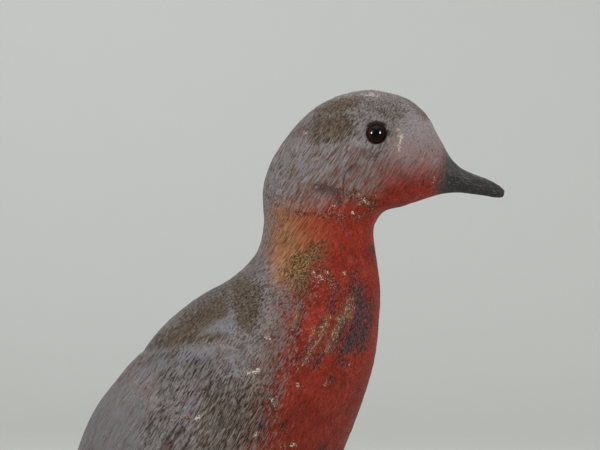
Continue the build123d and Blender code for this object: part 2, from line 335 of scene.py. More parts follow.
def area_depth(flat, corners):
    """How far each point is inside an area, in millimetres; outside is negative."""
    inside = np.zeros(len(flat), bool)
    for (x0, z0), (x1, z1) in zip(corners, corners[1:] + corners[:1]):
        crosses = (z0 > flat[:, 1]) != (z1 > flat[:, 1])
        if z0 != z1:
            inside ^= crosses & (flat[:, 0] < x0 + (flat[:, 1] - z0) * (x1 - x0) / (z1 - z0))
    return np.where(inside, 1, -1) * line_distance(flat, corners + corners[:1])


def blob(flat, centre, radii, tilt_deg=0.0):
    """1 at the middle of a tilted ellipse, falling to 0 at its edge and below 0 outside it."""
    a = math.radians(tilt_deg)
    d = flat - np.array(centre)
    along = d[:, 0] * math.cos(a) + d[:, 1] * math.sin(a)
    across = -d[:, 0] * math.sin(a) + d[:, 1] * math.cos(a)
    return 1 - np.hypot(along / radii[0], across / radii[1])


def grain_frame(points, degrees):
    """Points turned so that the first number runs along the carving strokes in the side view."""
    a = math.radians(degrees)
    along = points[:, 0] * math.cos(a) + points[:, 2] * math.sin(a)
    across = -points[:, 0] * math.sin(a) + points[:, 2] * math.cos(a)
    return np.stack([along, points[:, 1], across], 1)


# ---- meshes -------------------------------------------------------------------------------------
def point_values(mesh, what):
    """The place ("co", in metres) or direction ("normal") of each of a mesh's points, as an array."""
    flat = np.empty(len(mesh.vertices) * 3, np.float32)
    mesh.vertices.foreach_get(what, flat)
    return flat.reshape(-1, 3).astype(float)


def push_out(mesh, relief):
    """Moves each point out along its normal by that many millimetres. Gives the new places back."""
    moved = point_values(mesh, "co") + point_values(mesh, "normal") * relief[:, None] * MM
    mesh.vertices.foreach_set("co", moved.astype(np.float32).ravel())
    mesh.update()
    return moved


def store(mesh, name, values):
    """Stores one number on each point."""
    layer = mesh.attributes.new(name, "FLOAT", "POINT")
    layer.data.foreach_set("value", np.asarray(values, np.float32))


def block_of(names, voxel_mm, is_joint=lambda face: False):
    """One fine, even mesh round the solids of some CAD nodes, without their joint faces."""
    joined = bmesh.new()
    for name in names:
        joined.from_mesh(nodes[name].data)
    touching = [face for face in joined.faces if is_joint(face)]
    bmesh.ops.delete(joined, geom=touching, context="FACES")
    mesh = bpy.data.meshes.new("block")
    joined.to_mesh(mesh)
    joined.free()
    obj = add_object("block", mesh)
    remesh = obj.modifiers.new("remesh", "REMESH")
    remesh.mode = "VOXEL"
    remesh.voxel_size = voxel_mm * MM
    graph = bpy.context.evaluated_depsgraph_get()
    fine = bpy.data.meshes.new_from_object(obj.evaluated_get(graph))
    bpy.data.objects.remove(obj)
    return fine


WELD = 1e-7  # metres


def closed_part(mesh, name, cuts):
    """The part of a mesh ahead of some planes, (place, direction) each, closed with flat faces."""
    part = bmesh.new()
    part.from_mesh(mesh)
    for place, direction in cuts:
        everything = [*part.verts, *part.edges, *part.faces]
        done = bmesh.ops.bisect_plane(
            part, geom=everything, dist=WELD, plane_co=place, plane_no=direction, clear_inner=True
        )
        rim = [e for e in done["geom_cut"] if isinstance(e, bmesh.types.BMEdge) and e.is_boundary]
        bmesh.ops.triangle_fill(part, use_beauty=True, edges=rim)
    bmesh.ops.recalc_face_normals(part, faces=part.faces)
    made = bpy.data.meshes.new(name)
    part.to_mesh(made)
    part.free()
    return add_object(name, made)


# ---- the painted marks: millimetres forward of and above the pivot pin --------------------------
# An area is a list of its corners. CRACK, MOUTH and CROWN_BAND are the bends of a line. The other lines
# and the short marks end with half their width, and below 0 it leaves only broken traces. BROWN_SPOTS and
# CHEEK are ellipses: centre, radii, tilt in degrees, and for a brown spot how deep the paint is.
RED_EDGE = [
    (70, 93.6), (58, 93.4), (52, 89.7), (47.5, 86.4), (40, 84.6), (32, 82.8), (25.5, 79.5), (29, 72),
    (29.5, 66), (28, 60), (26.2, 54), (24.6, 47), (23.4, 39.5), (21, 31.5), (19, 24), (16.7, 16),
    (13, 5), (5, -15), (-6, -36), (-24, -58), (-52, -82),
]
RED_AREA = RED_EDGE + [(-60, -115), (40, -80), (110, 0), (110, 70), (74, 84)]
TAN_AREA = [
    (20.5, 81), (27, 80.6), (33, 77), (33, 71), (29, 66), (25, 61), (21.5, 61), (19.5, 68), (20, 76),
]
CRUST_AREA = [
    (22.2, 62.6), (24.5, 67.6), (29.5, 70.6), (33.4, 71.4), (33, 67.8), (30.5, 64.6), (29.2, 60.8),
    (28.2, 55.6), (26.2, 54.8), (25.6, 61), (23, 60.6),
]
WING_AREA = [
    (-23.5, 37), (-16, 38.8), (-8, 40.8), (2, 41.2), (7.2, 40), (9.6, 36.5), (9.4, 29), (6, 15),
    (-5, -7), (-22, -31), (-42, -52), (-64, -72), (-90, -80), (-70, -20), (-45, 20),
]
MANTLE_BROWN = [
    (-22, 38.5), (-12, 47), (-2, 55.5), (5, 59.5), (5.5, 50), (7, 42.5), (-8, 40.6), (-16, 38.8),
]
BACK_BROWN = [(5, 60.5), (10, 61.5), (15.2, 58), (15.2, 51), (12, 44.5), (8, 46), (5.5, 53)]
CALM_AREA = [(-50, 0), (-36, 27), (-27, 29), (-20, 20), (-22, 5), (-33, -14), (-52, -30)]
PALE_AREA = [(-5.2, 43.4), (-1, 46.2), (2, 48.2), (6, 49.6), (8, 46.2), (6.6, 43.6), (1, 44.6)]
SMEARS = [
    ([(44.6, 57), (45.6, 51), (44.8, 45), (41.6, 39.8)], 2.7),
    ([(47.9, 53), (47.8, 46), (45.9, 40)], 1.6), ([(37, 50), (36.3, 53.6), (38.9, 57.4)], 0.8),
    ([(39.8, 39.5), (40, 34.2)], 0.9), ([(35, 40), (31.6, 35.6)], 1.2),
    ([(43.6, 58.5), (43.9, 63)], 0.4), ([(42.6, 53), (39.4, 46.4), (36.0, 40.0)], 2.3),
    ([(34.6, 48), (31.0, 41), (28.4, 36)], 1.4), ([(27, 52), (25.4, 45)], 0.5),
]
OCHRE_LINES = [
    ([(41.9, 53.7), (40.8, 50.2), (38.6, 46.4), (36.8, 42.6), (35.1, 39.2)], 0.3),
    ([(43.2, 51.6), (41.6, 48.2)], 0.15), ([(38.9, 48.6), (37.2, 44.8), (36.0, 42.0)], 0.05),
    ([(35.5, 48.7), (34.0, 45.8), (33.2, 43.4)], 0.2),
    ([(33.2, 43.2), (31.0, 40.0), (28.8, 36.6), (27.3, 34.4)], -0.05),
    ([(26.1, 52.4), (25.0, 46.0)], -0.2), ([(31.0, 45.6), (29.4, 41.6)], -0.15),
]
PALE_STROKES = [
    ([(-10, 36.6), (-4.7, 38.4), (0, 38.8)], 1.5), ([(6, 37.4), (7.9, 32)], 1.1),
    ([(-22.7, 31.6), (-14.5, 35)], 1.2), ([(-8.6, 18), (-6.6, 23)], 1.4),
    ([(28.6, 94.2), (34, 96.6)], 0.7),
]
# Chips down to the chalk ground. The first two, high on the crown, are a painted highlight, and the small
# ones at the throat, near x 45 to 51 and z 84 to 87, are painted glints.
CHIPS_AND_GLINTS = [
    ((44.7, 117.9), (48.0, 118.6), 0.12), ((49.0, 118.6), (51.4, 118.3), 0.18),
    ((28.2, 106.6), (28.8, 106.3), 0.4), ((58.0, 105.0), (58.3, 104.6), 0.55),
    ((58.1, 104.6), (58.0, 100.8), 0.2), ((57.4, 107.2), (57.7, 106.7), 0.3),
    ((57.6, 109.8), (59.0, 110.2), 0.2), ((45.4, 86.8), (45.8, 86.4), 0.2),
    ((46.4, 85.2), (47.4, 84.8), 0.15), ((45.6, 83.8), (45.9, 83.6), 0.2),
    ((48.2, 84.4), (48.6, 83.8), 0.1), ((50.4, 86.2), (50.8, 85.8), 0.15),
    ((37.0, 83.4), (37.6, 83.0), 0.15), ((42.8, 81.2), (43.2, 81.0), 0.15),
    ((38.8, 80.6), (39.2, 80.4), 0.1), ((31.4, 62.8), (32.8, 60.2), 0.05),
    ((33.2, 61.8), (34.0, 60.4), 0.05), ((34.6, 63.0), (35.2, 62.6), 0.15),
    ((40.2, 62.8), (40.6, 62.4), 0.25), ((11.4, 32.2), (14.2, 33.4), 0.35),
    ((16.4, 43.4), (17.8, 42.8), 0.25), ((-4.9, 18.2), (-3.6, 19.4), 0.3),
    ((-20.1, 27.8), (-19.6, 27.6), 0.35), ((-12.5, 18.1), (-12.0, 17.8), 0.3),
    ((18.2, 24.8), (19.2, 22.8), 0.1), ((13.2, 13.4), (14.0, 14.4), 0.2),
    ((20.8, 10.0), (21.1, 9.6), 0.1), ((24.2, 10.0), (25.4, 10.9), 0.15),
    ((34.4, 28.2), (35.0, 29.4), 0.0), ((41.8, 34.4), (42.2, 34.2), 0.05),
    ((26.0, 29.6), (26.4, 28.4), 0.2), ((68.2, 90.4), (68.9, 92.2), 0.15),
    ((85.0, 89.4), (86.8, 88.9), 0.3),
]
DARK_SPOTS = [
    ((49.6, 70.2), (50.0, 68.2), 0.8), ((39.4, 70.8), (39.9, 70.4), 0.35),
    ((42.9, 61.0), (43.1, 60.2), 0.5), ((35.0, 64.6), (35.3, 62.2), 0.25),
    ((50.2, 98.6), (50.0, 99.2), 0.5), ((33.2, 88.6), (37.2, 88.0), 1.5),
    ((38.8, 87.0), (39.2, 84.6), 0.9), ((54.6, 108.2), (53.8, 107.4), 0.3),
    ((17.8, 25.6), (18.4, 24.0), 0.5), ((24.6, 19.6), (25.6, 20.4), 0.4),
    ((21.0, 15.4), (21.8, 16.6), 0.4), ((33.4, 9.4), (34.4, 8.6), 0.7),
    ((36.6, 29.6), (37.4, 30.0), 0.6), ((14.6, 43.0), (17.0, 42.4), 0.4),
    ((13.0, 52.0), (13.4, 51.0), 0.5),
]
GROOVES = [
    ((-14.4, 7.6), (-8.6, 16.2), 0.3), ((-16.0, 8.4), (-10.4, 17.0), 0.25),
    ((-11.0, 6.0), (-6.6, 12.6), 0.25), ((-5.6, 22.4), (-3.4, 25.6), 0.25),
    ((-1.6, 26.4), (0.6, 29.4), 0.25), ((-19.8, 15.0), (-17.6, 18.2), 0.25),
    ((1.8, 16.4), (3.6, 19.4), 0.2), ((18.2, 21.6), (19.6, 23.6), 0.25),
    ((21.4, 16.0), (22.8, 18.0), 0.2),
]
CRACK = [(44.2, 97.6), (42.2, 95.2), (40.6, 91.8), (40.2, 88.2), (40.4, 86.0)]
MOUTH = [(74.2, 92.4), (79.0, 91.4), (84.0, 90.9), (88.0, 90.0)]
BROWN_SPOTS = [
    ((38.9, 114.6), (6.8, 2.2), 14, 3.4), ((37.4, 107.6), (6.4, 5.2), 10, 3.0),
    ((55.4, 113.2), (4.6, 2.2), -14, -0.3), ((51.5, 114.6), (3.6, 1.8), 0, -0.3),
    ((33.4, 111.0), (3.0, 2.0), 40, 1.2), ((5.0, 18.0), (12.0, 9.0), 60, 0.3),
]
CROWN_BAND_HALF_WIDTH = 1.3
CROWN_BAND = [(50.0, 122.4), (57.5, 120.2), (63.0, 116.4), (66.8, 111.8)]
NAPE_AREA = [
    (20, 84.5), (24, 91), (32, 98), (43, 101.5), (52, 98), (56, 93), (50, 89), (44, 86.5),
    (33, 84.5),
]
CHEEK = ((64.2, 101.8), (11, 14), -20)
# Painted shadow: short dark marks in an arc over the top and front of the eye, where the head shades it.
EYE_SHADOW_MARKS = [
    ((48.3, 108.2), (49.8, 109.2), 0.45), ((50.6, 109.4), (53.0, 108.6), 0.45),
    ((54.2, 106.6), (54.4, 105.4), 0.15),
]
CRUMB_LINES = [
    ([(27.0, 81.4), (33.0, 80.6), (40.0, 79.6), (46.0, 80.4), (50.6, 83.6)], 0.7),
    ([(43.0, 86.6), (48.6, 84.2)], 1.5), ([(33.0, 63.0), (36.6, 60.0)], 2.0),
    ([(13.0, 34.0), (19.0, 25.0)], 0.5), ([(18.4, 24.4), (22.0, 15.0)], 0.6),
    ([(34.6, 28.6), (36.8, 30.6)], 0.8), ([(21.0, 11.0), (26.0, 10.0)], 0.3),
    ([(-14.0, 10.0), (-6.0, 20.0)], 0.3), ([(-2.0, 27.0), (4.0, 33.0)], 0.2),
]


def lines_depth(flat, lines):
    """How far each point is inside the nearest of some thick bent lines."""
    return np.max([half_width - line_distance(flat, line) for line, half_width in lines], axis=0)


def marks_depth(flat, marks):
    """The same for short straight marks."""
    return lines_depth(flat, [((start, end), half_width) for start, end, half_width in marks])


def cheek_amount(flat):
    """1 on the smooth patch between the eye and the bill, fading to 0 at its edge."""
    return smooth(blob(flat, *CHEEK), 0.0, 0.5)


def worn_amount(p, flat):
    """How thickly the rasp's torn marks lie: most on the back, least on the red and the head."""
    red = area_depth(flat, RED_AREA)
    back = smooth(-p[:, 2], -70, -50)
    calm = smooth(area_depth(flat, CALM_AREA), -4, 4)
    seam = 0.9 * np.exp(-((red + 1) / 6) ** 2)
    cover = np.maximum(0.12 + 0.88 * smooth(-red, -5, 0), seam)
    bare = 1 - 0.85 * np.maximum(calm, cheek_amount(flat))
    patchy = 0.62 + 0.8 * noise(p, (11, 9, 7), 43, 2)
    return (0.25 + 0.75 * back) * cover * bare * np.clip(patchy, 0.1, 1.2)


LEFT_SIDE_OFFSET = (4.5, -5.5)  # the left side's marks sit further forward and lower
RAGGED_MM = 0.55


def from_pivot(points):
    """Points in metres as millimetres from the pivot, and the same in the side view only."""
    p = (points - np.array(PIVOT)) / MM
    return p, p[:, [0, 2]]


def bird_fields(points):
    """The painted areas on points in metres: depths in millimetres, or amounts from 0 to 1."""
    p, flat = from_pivot(points)
    offset = np.where(p[:, 1:2] > 0, np.array([LEFT_SIDE_OFFSET]), 0.0)
    ragged = np.stack([noise(p, 2.4, 21, 2), noise(p, 2.4, 31, 2)], 1)
    marks = flat - offset + RAGGED_MM * ragged
    red = area_depth(flat, RED_AREA)
    brown = np.maximum(area_depth(marks, BACK_BROWN), area_depth(marks, MANTLE_BROWN) * 0.6 - 0.2)
    for centre, radii, tilt, depth in BROWN_SPOTS:
        brown = np.maximum(brown, np.minimum(4 * blob(marks, centre, radii, tilt), depth))
    brown = np.maximum(brown, CROWN_BAND_HALF_WIDTH - line_distance(marks, CROWN_BAND))
    pale = np.maximum(area_depth(marks, PALE_AREA), lines_depth(marks, PALE_STROKES))
    return {
        "red": np.clip(red, -26, 12),
        "tan": np.clip(area_depth(marks, TAN_AREA), -6, 6),
        "crust": np.clip(area_depth(marks, CRUST_AREA), -3, 3),
        "brown": np.clip(brown, -4, 4),
        "pale": np.clip(pale, -3, 3),
        "smear": np.clip(lines_depth(marks, SMEARS), -3, 3),
        "ochre": np.clip(lines_depth(marks, OCHRE_LINES), -4, 2),
        # Chips down to the chalk ground, with some painted glints among them.
        "chip_and_glint": np.clip(marks_depth(marks, CHIPS_AND_GLINTS) - 0.1, -2, 1),
        "dark": np.clip(marks_depth(marks, DARK_SPOTS), -1.5, 1.5),
        "groove": np.clip(marks_depth(marks, GROOVES), -1, 1),
        "crack": np.clip(0.12 - line_distance(marks, CRACK), -1, 1),
        "worn": np.clip(worn_amount(p, flat), 0, 1),
        "loose": smooth(-p[:, 2], -78, -58),
        "nape": smooth(area_depth(flat, NAPE_AREA), -5, 3),
        "seam": np.exp(-(((red + 2.0) / 6.0) ** 2)) * smooth(-p[:, 2], -72, -58),
        "crumb": np.clip(lines_depth(marks, CRUMB_LINES), -3, 2),
        "airbrush": smooth(p[:, 0], 46, 60) * smooth(p[:, 2], 78, 86),
        "low": smooth(-p[:, 2], -42, -5),
        # The painted shadow over the eye.
        "socket": np.clip(marks_depth(flat, EYE_SHADOW_MARKS), -1, 1),
        "quill": np.zeros(len(p)),
        "mouth": np.clip(p[:, 2] - 92.4 + 0.17 * (p[:, 0] - 74.2), -4, 4),
        "calm": smooth(area_depth(flat, CALM_AREA), -5, 5),
        "cheek": cheek_amount(flat),
        "bill": smooth(p[:, 0] - 0.2 * (p[:, 2] - 94), 68.6, 74.2),
        "vent": smooth(-p[:, 2] - 0.25 * p[:, 0], 14, 62),
    }


STROKE_ANGLE = 58  # degrees up from +X in the side view
EYE_RIM = (3.35, 4.2)  # the carving fades in between these distances from the eye's and the pin's middle
PIN_RIM = (6.0, 8.5)
SLOT_WALL = (2.9, 3.4)  # and between these from the middle plane, over the belly slot
SLOT_HALF_WIDTH = 3.2
SLOT_TOP = 12
SLOT_REAR = -9


def carved_relief(points, fields):
    """How far the knife, rasp and wear leave each point out of the smooth shape, in millimetres."""
    p, flat = from_pivot(points)
    strokes = grain_frame(p, STROKE_ANGLE)
    worked = 1 - 0.75 * np.maximum(fields["calm"], fields["cheek"])
    on_bill = fields["bill"]
    rough = worked * (1 - 0.8 * on_bill) * (1 - 0.45 * smooth(fields["red"], 1, 7))
    relief = 0.24 * np.abs(noise(strokes, (30, 9, 8), 1)) * (1 - on_bill)
    relief += 0.10 * noise(strokes, (7, 1.5, 1.1), 2) * rough
    relief += 0.09 * noise(strokes, (2.6, 0.9, 0.7), 3) * rough
    wing = area_depth(flat, WING_AREA)
    relief += 0.9 * smooth(wing, -0.4, 2.0) * smooth(-wing, -14, -4)
    relief -= 0.22 * np.exp(-((wing + 0.5) / 0.7) ** 2)
    crust = smooth(fields["crust"] + 0.8 * noise(p, 1.4, 4), -0.5, 0.9)
    relief += crust * (0.35 + 0.4 * noise(p, (1.2, 1.2, 1.0), 5, 2))
    relief += 0.22 * smooth(fields["crumb"] + 0.9 * noise(p, 1.1, 61), -0.2, 0.8) * noise(p, 0.8, 62)
    relief -= 0.20 * smooth(fields["chip_and_glint"], -0.25, 0.2)
    relief -= 0.12 * smooth(fields["dark"] + 0.3 * noise(p, 0.9, 6), -0.2, 0.5)
    relief -= 0.40 * smooth(fields["groove"], -0.45, 0.25)
    relief -= 0.20 * fields["worn"] * smooth(noise(strokes, (4.2, 0.8, 0.75), 41), 0.2, 0.6)
    relief -= 0.25 * smooth(fields["crack"], -0.4, 0.1)
    relief -= 0.28 * np.exp(-(line_distance(flat, MOUTH) / 0.3) ** 2) * on_bill
    neck = np.exp(-(((p[:, 2] - (NECK_Z - PIVOT.z) / MM) / 0.35) ** 2))
    relief -= 0.10 * neck * smooth(noise(p, 6, 7), 0.0, 0.5)
    eye = np.hypot(p[:, 0] - (EYE.x - PIVOT.x) / MM, p[:, 2] - (EYE.z - PIVOT.z) / MM)
    pin = np.hypot(p[:, 0], p[:, 2])
    held = smooth(eye, *EYE_RIM) * smooth(pin, *PIN_RIM)
    from_middle = np.abs(p[:, 1])
    in_slot = (from_middle < SLOT_HALF_WIDTH) & (p[:, 2] < SLOT_TOP) & (p[:, 0] > SLOT_REAR)
    return relief * held * np.where(in_slot, smooth(from_middle, *SLOT_WALL), 1)


BILL_SLOPE = math.radians(17)
BILL_DIRECTION = Vector((math.cos(BILL_SLOPE), 0, -math.sin(BILL_SLOPE)))
BILL_PLACE = PIVOT + Vector((76.4, 0, 91.8)) * MM
ON_PLANE = 1e-6  # metres
VOXEL = 0.45  # millimetres


def is_glued(face):
    """True for the flat faces where the body halves, the head and the bill are glued together."""
    corners = [v.co for v in face.verts]
    halves = all(abs(co.y) < ON_PLANE for co in corners)
    neck = all(abs(co.z - NECK_Z) < ON_PLANE for co in corners)
    bill = all(abs((co - BILL_PLACE).dot(BILL_DIRECTION)) < 2 * ON_PLANE for co in corners)
    return halves or neck or bill


def new_piece(obj, node, body, fields):
    """Stores the paint's fields on a new piece and puts it in a CAD node's place."""
    for field, values in fields.items():
        store(obj.data, field, values)
    obj.data.shade_smooth()
    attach(obj, body)
    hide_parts(node)
    return obj


carving = block_of(["body_left", "body_right", "head", "bill"], VOXEL, is_glued)
rest_points = point_values(carving, "co")
push_out(carving, carved_relief(rest_points, bird_fields(rest_points)))

middle = Vector()
left = Vector((0, 1, 0))
up = Vector((0, 0, 1))
neck_place = Vector((0, 0, NECK_Z))
carved = {
    "body_left": [(neck_place, -up), (middle, left)],
    "body_right": [(neck_place, -up), (middle, -left)],
    "head": [(neck_place, up), (BILL_PLACE, -BILL_DIRECTION)],
    "bill": [(BILL_PLACE, BILL_DIRECTION)],
}
painted = []
for name, cuts in carved.items():
    piece = closed_part(carving, f"carved_{name}", cuts)
    fields = bird_fields(point_values(piece.data, "co"))
    painted.append(new_piece(piece, name, "bird", fields))


# ---- tail, wing tips and bungs ------------------------------------------------------------------
WING_QUILLS = ((-58.0, -42.0), (-111.5, -131.0))  # root and tip, from the pivot
TAIL_QUILLS = ((-82.0, -98.0), (-126.0, -175.0))
QUILL_ANGLE = 59
FEATHER_VOXEL = 0.8 * VOXEL
BUNG_VOXEL = 0.4


def saw(value):
    """A slope that steps back at each whole number, like overlapping feathers."""
    return value - np.floor(value)


def along_line(p, root, tip):
    """How far along a slanting line each point is, 0 to 1, and how far above it in the side view."""
    run = np.array(tip) - np.array(root)
    length = np.hypot(*run)
    d = p[:, [0, 2]] - np.array(root)
    return (d @ run) / length**2, (d[:, 1] * run[0] - d[:, 0] * run[1]) / length


def wing_feathers(p):
    """A folded wing tip's long quills, which all run to the point: place across them, and depth of grey."""
    t, above = along_line(p, *WING_QUILLS)
    return above / (3.6 - 2.3 * np.clip(t, 0, 1)) + 0.2, np.clip(0.55 + 0.45 * t, 0, 1)


def tail_feathers(p):
    """The same for the tail's feathers, which fan out a little each way from the middle one."""
    t, _ = along_line(p, *TAIL_QUILLS)
    return np.abs(p[:, 1]) / (2.9 + 1.5 * np.clip(t, 0, 1)) + 0.5, np.clip(0.25 + 0.9 * t, 0, 1)


def feathered_piece(node, feathers):
    """A tail or wing tip with carved feather edges, rasp marks and a worn, nicked rim."""
    mesh = block_of([node], FEATHER_VOXEL)
    p, _ = from_pivot(point_values(mesh, "co"))
    place, quill = feathers(p)
    step = saw(place)
    strokes = grain_frame(p, QUILL_ANGLE)
    relief = 0.45 * step - 0.22 - 0.25 * np.exp(-((step / 0.09) ** 2))
    relief += 0.10 * noise(strokes, (9, 1.0, 0.8), 51) + 0.10 * noise(strokes, (2.4, 0.8, 0.8), 52)
    relief -= 0.18 * smooth(noise(p, (3.0, 3.0, 3.0), 53, 2), 0.45, 0.8)
    fields = bird_fields(push_out(mesh, relief))
    fields["quill"] = quill
    fields["groove"] = np.clip(0.25 - np.minimum(step, 1 - step) * 2.4, -1, 1)
    fields["worn"] = np.clip(0.35 + 0.3 * noise(p, 8, 54), 0, 1)
    return new_piece(add_object(f"carved_{node}", mesh), node, "bird", fields)


for side in ("left", "right"):
    painted.append(feathered_piece(f"wing_tip_{side}", wing_feathers))
    bung = add_object(f"carved_bung_{side}", block_of([f"pin_bung_{side}"], BUNG_VOXEL))
    fields = bird_fields(point_values(bung.data, "co"))
    painted.append(new_piece(bung, f"pin_bung_{side}", "bird", fields))
painted.append(feathered_piece("tail", tail_feathers))


# ---- paint --------------------------------------------------------------------------------------
def edge(s, field, reach, soft, texture):
    """A mask from a stored depth. A texture moves its edge by up to the reach, in millimetres."""
    depth = s.math("MULTIPLY_ADD", s.math("SUBTRACT", texture, 0.5), 2 * reach, s.field(field))
    return s.ramp(depth, -soft, soft)


def over(s, colour, mask, strength, paint):
    """Lays a paint over a colour where the mask is 1, at some strength."""
    return s.mix(s.math("MULTIPLY", mask, strength), colour, paint)


s = Shader("worn_plumage_paint")  # long strokes, fine lines, short dashes, dots, and blotches
streak = s.noise(s.turned(60, (0.13, 0.9, 0.8)), 1.0, 3, 0.55)
hatch = s.noise(s.turned(57, (0.26, 2.3, 2.8)), 1.0, 2, 0.55)
dashes = s.noise(s.turned(60, (0.36, 2.8, 2.8)), 1.0, 3, 0.55)
stipple = s.noise(s.mm, 2.1, 2, 0.6)
cloud = s.noise(s.mm, 0.12, 4, 0.6)
patch = s.noise(s.mm, 0.35, 3, 0.6)
worn = s.field("worn")
mixed = s.math("MULTIPLY_ADD", streak, 0.35, s.math("MULTIPLY", dashes, 0.65))

# Grey head and back, with a rusty nape, a smooth flank and a pale cheek.
grey = s.mix(s.ramp(cloud, 0.38, 0.62), srgb(116, 109, 106), srgb(138, 132, 131))
grey = over(s, grey, s.ramp(patch, 0.50, 0.60), 0.40, srgb(98, 85, 79))
grey = over(s, grey, s.ramp(streak, 0.52, 0.66), 0.30, srgb(92, 80, 74))
# Dark hatch lines and specks sit where the bump at the end is lowest, and light ones where it is highest.
# They are paint marks that also carry painted shade in the hollows and painted highlights on the tops.
grey = over(s, grey, s.ramp(hatch, 0.54, 0.59), 0.64, srgb(62, 49, 44))
grey = over(s, grey, s.ramp(hatch, 0.45, 0.40), 0.38, srgb(156, 151, 154))
grey = over(s, grey, s.ramp(stipple, 0.60, 0.64), 0.50, srgb(52, 42, 37))
grey = over(s, grey, s.ramp(stipple, 0.39, 0.35), 0.30, srgb(160, 152, 151))
nape = s.math("MULTIPLY", s.field("nape"), s.ramp(hatch, 0.46, 0.55))
grey = over(s, grey, nape, 0.62, srgb(112, 66, 56))
smooth_grey = s.mix(s.ramp(streak, 0.35, 0.65), srgb(122, 119, 122), srgb(104, 101, 103))
grey = over(s, grey, s.field("calm"), 0.8, smooth_grey)
cheek = s.mix(s.ramp(stipple, 0.42, 0.60), srgb(151, 142, 144), srgb(128, 119, 120))
grey = over(s, grey, s.field("cheek"), 0.9, cheek)

# Red throat and breast, fading to buff at the vent.
red = s.mix(s.ramp(cloud, 0.38, 0.62), srgb(122, 29, 12), srgb(152, 45, 28))
red = over(s, red, s.ramp(streak, 0.52, 0.68), 0.35, srgb(96, 33, 23))
# As on the grey, the dark hatch lines and specks are paint marks that also paint shade in the bump's
# hollows, and the light hatch lines paint highlights on its tops.
red = over(s, red, s.ramp(hatch, 0.45, 0.36), 0.28, srgb(166, 78, 60))
red = over(s, red, s.ramp(hatch, 0.55, 0.59), 0.50, srgb(76, 24, 16))
red = over(s, red, s.ramp(patch, 0.54, 0.66), 0.32, srgb(172, 82, 72))
red = over(s, red, s.ramp(stipple, 0.59, 0.63), 0.6, srgb(62, 30, 22))
red = over(s, red, s.field("low"), 0.45, srgb(92, 25, 10))
buff = s.mix(s.ramp(streak, 0.35, 0.7), srgb(158, 138, 120), srgb(118, 98, 84))
vent = s.ramp(s.math("MULTIPLY_ADD", s.math("SUBTRACT", mixed, 0.5), 1.6, s.field("vent")), 0.3, 0.7)
red = s.mix(vent, red, buff)

# The border of grey and red: streaky on the body, sprayed and soft near the bill.
airbrush = s.field("airbrush")
reach = s.math("MULTIPLY_ADD", s.field("loose"), 26.0, s.math("MULTIPLY_ADD", airbrush, -3.0, 7.0))
ragged_red = s.math("MULTIPLY_ADD", s.math("SUBTRACT", hatch, 0.5), reach, s.field("red"))
sweep = s.math("MULTIPLY_ADD", airbrush, -7.0, 14.0)
ragged_red = s.math("MULTIPLY_ADD", s.math("SUBTRACT", streak, 0.5), sweep, ragged_red)
ragged_red = s.math("DIVIDE", ragged_red, s.math("MULTIPLY_ADD", airbrush, 1.0, 1.0))
blush = s.math("MULTIPLY", s.ramp(ragged_red, -7.5, 2.0), s.ramp(cloud, 0.30, 0.55, 0.55, 0.9))
rust = s.mix(s.ramp(dashes, 0.42, 0.58), srgb(148, 88, 76), srgb(104, 58, 48))
colour = s.mix(blush, grey, rust)
seam = s.field("seam")
colour = over(s, colour, seam, 0.55, s.mix(s.ramp(dashes, 0.44, 0.56), srgb(112, 84, 76), srgb(74, 52, 46)))
colour = s.mix(s.ramp(ragged_red, -2.0, 2.2), colour, red)

# Tan neck, brown and pale patches, slate and ochre smears.
yellow = s.mix(s.ramp(hatch, 0.40, 0.58), srgb(176, 124, 76), srgb(134, 80, 48))
orange = s.mix(s.ramp(hatch, 0.40, 0.58), srgb(160, 84, 54), srgb(124, 54, 34))
tan = s.mix(s.ramp(s.field("red"), -5.0, 3.5), yellow, orange)
tan_edge = s.math("ADD", s.math("MULTIPLY_ADD", s.math("SUBTRACT", mixed, 0.5), 14.0, s.field("tan")), 2.5)
colour = over(s, colour, s.ramp(tan_edge, -3.0, 3.0), 0.85, tan)
olive = s.mix(s.ramp(dashes, 0.44, 0.55), srgb(106, 89, 69), srgb(54, 41, 28))
colour = over(s, colour, edge(s, "brown", 3.6, 1.0, dashes), 0.85, olive)
pale = s.mix(s.ramp(dashes, 0.42, 0.66), srgb(134, 132, 139), srgb(112, 107, 108))
colour = over(s, colour, edge(s, "pale", 2.2, 0.7, mixed), 0.8, pale)
slate = s.mix(s.ramp(hatch, 0.44, 0.56), srgb(74, 68, 72), srgb(34, 29, 30))
colour = over(s, colour, edge(s, "smear", 7.5, 0.9, hatch), 0.88, slate)
ochre = s.mix(s.ramp(stipple, 0.42, 0.58), srgb(182, 150, 108), srgb(116, 80, 56))
colour = over(s, colour, edge(s, "ochre", 5.0, 0.25, hatch), 0.85, ochre)

# Crusted patch, and the quills of wings and tail.
crust = s.mix(s.ramp(dashes, 0.42, 0.56), srgb(160, 124, 80), srgb(88, 64, 38))
crust = s.mix(s.ramp(stipple, 0.52, 0.58), crust, srgb(50, 37, 24))
colour = s.mix(edge(s, "crust", 9.0, 0.6, dashes), colour, crust)
quill = s.mix(s.ramp(hatch, 0.42, 0.58), srgb(84, 80, 80), srgb(52, 47, 46))
colour = over(s, colour, s.field("quill"), 0.85, quill)

# Wear: torn and lifted paint, dark spots, grooves, crumbs and chips down to the chalk ground. Painted light
# among them: shade in the rasp pits, grooves and crumb pits, highlights on the lifted edges, crumbs and
# some chips, and a shadow over the eye.
# Painted shade: the rasp pits, where the bump is lowest, are darkened.
rasp_pit_shade = s.math("MULTIPLY", worn, s.ramp(dashes, 0.555, 0.59))
colour = over(s, colour, rasp_pit_shade, 0.9, srgb(36, 27, 22))
